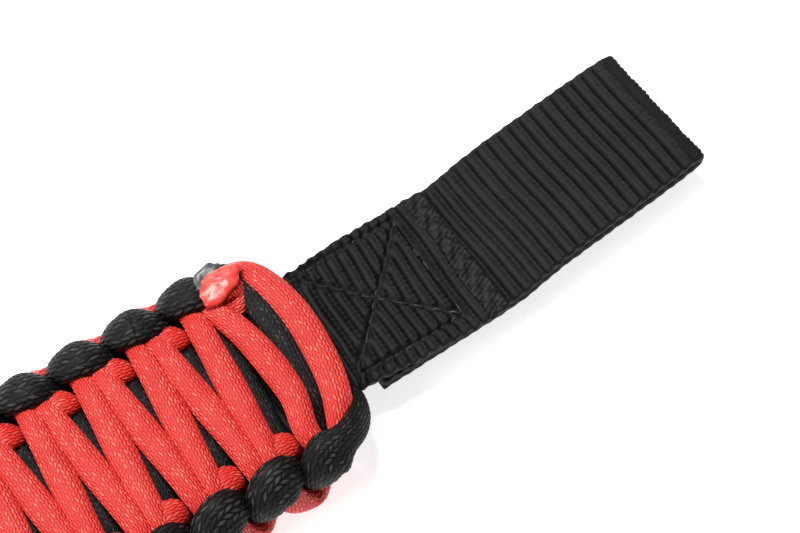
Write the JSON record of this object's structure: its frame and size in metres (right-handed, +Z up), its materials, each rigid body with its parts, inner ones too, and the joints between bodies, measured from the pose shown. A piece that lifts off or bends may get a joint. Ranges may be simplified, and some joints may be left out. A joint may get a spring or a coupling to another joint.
{
  "type": "tourniquet",
  "caption": "Limb band of flat webbing wrapped in two layers of knotted red and black cord, with a sewn webbing loop at each end.",
  "frame": {"origin": "centre of the band's footprint, on the surface it lies on", "axes": "+X along the band, +Y across it, +Z up out of the surface"},
  "size_m": [0.354, 0.0436, 0.015],
  "materials": {
    "red_cord": "braided nylon, satin",
    "black_cord": "braided nylon, satin",
    "webbing": "ribbed woven nylon",
    "stitching": "sewing thread",
    "melted_red": "melted nylon, glossy",
    "melted_black": "melted nylon, glossy"
  },
  "bodies": {
    "weave_1": {"red_outer_cord_1": "red_cord", "black_outer_cord_1": "black_cord", "black_inner_cord_1": "black_cord", "red_inner_cord_1": "red_cord", "core_strap_1": "webbing", "red_outer_bend_1": "red_cord", "black_outer_bend_1": "black_cord", "black_inner_bend_1": "black_cord", "red_inner_bend_1": "red_cord", "left_melted_red_end": "melted_red", "left_melted_black_end": "melted_black"},
    "weave_2": {"red_outer_cord_2": "red_cord", "black_outer_cord_2": "black_cord", "black_inner_cord_2": "black_cord", "red_inner_cord_2": "red_cord", "core_strap_2": "webbing", "red_outer_bend_2": "red_cord", "black_outer_bend_2": "black_cord", "black_inner_bend_2": "black_cord", "red_inner_bend_2": "red_cord"},
    "weave_3": {"red_outer_cord_3": "red_cord", "black_outer_cord_3": "black_cord", "black_inner_cord_3": "black_cord", "red_inner_cord_3": "red_cord", "core_strap_3": "webbing"},
    "weave_4": {"red_outer_cord_4": "red_cord", "black_outer_cord_4": "black_cord", "black_inner_cord_4": "black_cord", "red_inner_cord_4": "red_cord", "core_strap_4": "webbing", "red_outer_bend_3": "red_cord", "black_outer_bend_3": "black_cord", "black_inner_bend_3": "black_cord", "red_inner_bend_3": "red_cord"},
    "weave_5": {"red_outer_cord_5": "red_cord", "black_outer_cord_5": "black_cord", "black_inner_cord_5": "black_cord", "red_inner_cord_5": "red_cord", "core_strap_5": "webbing", "red_outer_bend_4": "red_cord", "black_outer_bend_4": "black_cord", "black_inner_bend_4": "black_cord", "red_inner_bend_4": "red_cord", "right_melted_red_end": "melted_red", "right_melted_black_end": "melted_black"},
    "left_tab": {"left_strap_end": "webbing", "left_upper_tail": "webbing", "left_lower_tail": "webbing", "left_box_stitch": "stitching"},
    "left_loop": {"left_webbing_loop": "webbing"},
    "right_tab": {"right_strap_end": "webbing", "right_upper_tail": "webbing", "right_lower_tail": "webbing", "right_box_stitch": "stitching"},
    "right_loop": {"right_webbing_loop": "webbing"}
  },
  "joints": [
    {"name": "flex_3_4", "type": "hinge", "parent": "weave_3", "child": "weave_4", "pos_m": [0.0206, 0, 0.0069], "axis": [0, -1, 0], "range_deg": [0, 35], "deforming": ["red_outer_bend_3", "black_outer_bend_3", "black_inner_bend_3", "red_inner_bend_3"]},
    {"name": "flex_4_5", "type": "hinge", "parent": "weave_4", "child": "weave_5", "pos_m": [0.0618, 0, 0.0069], "axis": [0, -1, 0], "range_deg": [0, 35], "deforming": ["red_outer_bend_4", "black_outer_bend_4", "black_inner_bend_4", "red_inner_bend_4"]},
    {"name": "flex_3_2", "type": "hinge", "parent": "weave_3", "child": "weave_2", "pos_m": [-0.0206, 0, 0.0069], "axis": [0, 1, 0], "range_deg": [0, 35], "deforming": ["red_outer_bend_2", "black_outer_bend_2", "black_inner_bend_2", "red_inner_bend_2"]},
    {"name": "flex_2_1", "type": "hinge", "parent": "weave_2", "child": "weave_1", "pos_m": [-0.0618, 0, 0.0069], "axis": [0, 1, 0], "range_deg": [0, 35], "deforming": ["red_outer_bend_1", "black_outer_bend_1", "black_inner_bend_1", "red_inner_bend_1"]},
    {"name": "right_tab_bend", "type": "hinge", "parent": "weave_5", "child": "right_tab", "pos_m": [0.108, 0.0015, 0.0069], "axis": [0.0384, -0.9993, -0.0015], "range_deg": [0, 60]},
    {"name": "right_loop_bend", "type": "hinge", "parent": "right_tab", "child": "right_loop", "pos_m": [0.13396, 0.0025, 0.00587], "axis": [0.1027, -0.9947, -0.0041], "range_deg": [0, 45]},
    {"name": "left_tab_bend", "type": "hinge", "parent": "weave_1", "child": "left_tab", "pos_m": [-0.108, -0.0015, 0.0069], "axis": [-0.0384, 0.9993, -0.0015], "range_deg": [0, 60]},
    {"name": "left_loop_bend", "type": "hinge", "parent": "left_tab", "child": "left_loop", "pos_m": [-0.13396, -0.0025, 0.00587], "axis": [-0.1027, 0.9947, -0.0041], "range_deg": [0, 45]}
  ]
}
